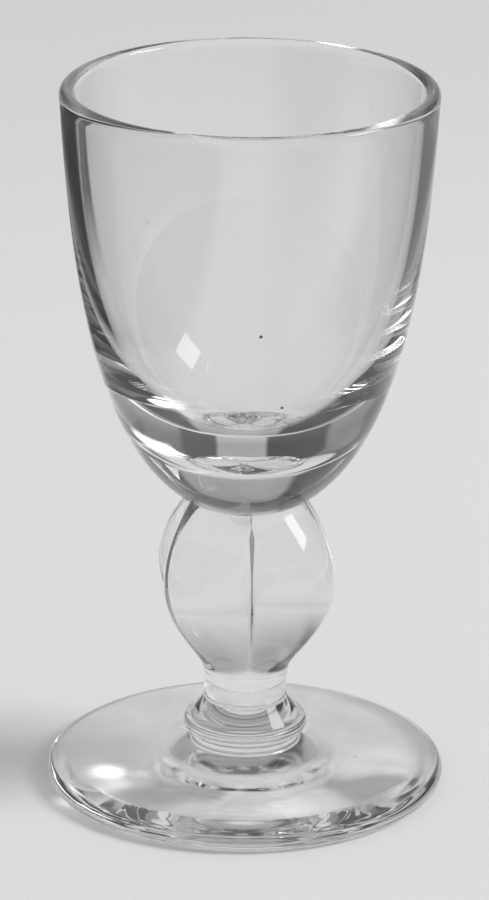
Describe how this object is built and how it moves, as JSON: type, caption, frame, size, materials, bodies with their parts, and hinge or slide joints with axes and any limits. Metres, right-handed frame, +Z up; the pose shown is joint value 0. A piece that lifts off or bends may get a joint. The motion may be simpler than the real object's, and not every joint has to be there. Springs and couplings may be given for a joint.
{
  "type": "liqueur glass",
  "caption": "Small stemmed glass for liqueur: thick-based clear bowl on a lobed knop, beaded neck, bell collar and flat round foot.",
  "frame": {"origin": "on the axis of the glass, on the surface that it stands on", "axes": "+Z up along the axis through the bowl, -Y towards the front of the glass, +X to its right"},
  "size_m": [0.0554, 0.0554, 0.1],
  "materials": {
    "crystal": "polished clear crystal"
  },
  "bodies": {
    "root": {"liqueur_glass": "crystal"}
  },
  "joints": []
}
